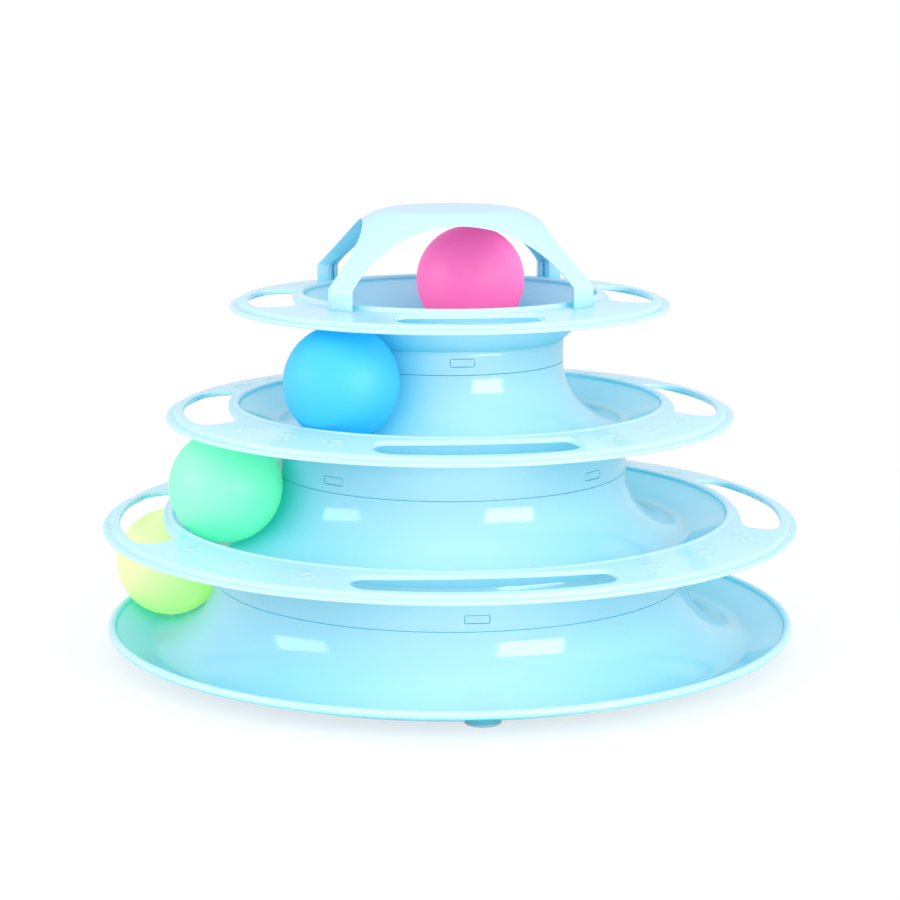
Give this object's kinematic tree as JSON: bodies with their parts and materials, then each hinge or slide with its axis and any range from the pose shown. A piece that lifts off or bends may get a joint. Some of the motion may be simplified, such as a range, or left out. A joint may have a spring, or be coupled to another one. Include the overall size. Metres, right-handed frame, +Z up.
{
  "type": "cat ball track toy",
  "caption": "Tower of snap-together ring tracks with a captive ball rolling in each, paw slots in the flanges and an arched guard over the top bowl.",
  "frame": {"origin": "on the tower's axis, on the floor under the foot pads", "axes": "+Z up the tower's axis, -Y to the front, through the middle of a paw slot"},
  "size_m": [0.252, 0.252, 0.1593],
  "materials": {
    "body": "glossy pastel aqua moulding",
    "yellow_ball": "satin pale lime plastic",
    "green_ball": "satin mint plastic",
    "blue_ball": "satin sky blue plastic",
    "pink_ball": "satin pink plastic",
    "pad": "matt grey-blue rubber"
  },
  "bodies": {
    "base": {"base_tray": "body", "foot_pad_front": "pad", "foot_pad_right": "pad", "foot_pad_back": "pad", "foot_pad_left": "pad"},
    "second_tier": {"second_tier": "body"},
    "third_tier": {"third_tier": "body"},
    "top_bowl": {"top_bowl": "body"},
    "guard": {"guard": "body"},
    "base_ball": {"base_ball": "yellow_ball"},
    "second_ball": {"second_ball": "green_ball"},
    "third_ball": {"third_ball": "blue_ball"},
    "top_ball": {"top_ball": "pink_ball"}
  },
  "joints": [
    {"name": "second_tier_lift", "type": "slide", "parent": "base", "child": "second_tier", "axis": [0, 0, 1], "range_m": [0, 0.06]},
    {"name": "third_tier_lift", "type": "slide", "parent": "second_tier", "child": "third_tier", "axis": [0, 0, 1], "range_m": [0, 0.06]},
    {"name": "top_bowl_lift", "type": "slide", "parent": "third_tier", "child": "top_bowl", "axis": [0, 0, 1], "range_m": [0, 0.06]},
    {"name": "guard_lift", "type": "slide", "parent": "top_bowl", "child": "guard", "axis": [0, 0, 1], "range_m": [0, 0.045]},
    {"name": "base_ball_roll", "type": "hinge", "parent": "base", "child": "base_ball", "pos_m": [0, 0, 0.0245], "axis": [0, 0, 1], "continuous": true},
    {"name": "second_ball_roll", "type": "hinge", "parent": "second_tier", "child": "second_ball", "pos_m": [0, 0, 0.0642], "axis": [0, 0, 1], "continuous": true},
    {"name": "third_ball_roll", "type": "hinge", "parent": "third_tier", "child": "third_ball", "pos_m": [0, 0, 0.1038], "axis": [0, 0, 1], "continuous": true},
    {"name": "top_ball_roll", "type": "hinge", "parent": "top_bowl", "child": "top_ball", "pos_m": [0, 0, 0.1306], "axis": [0, 0, 1], "continuous": true}
  ]
}
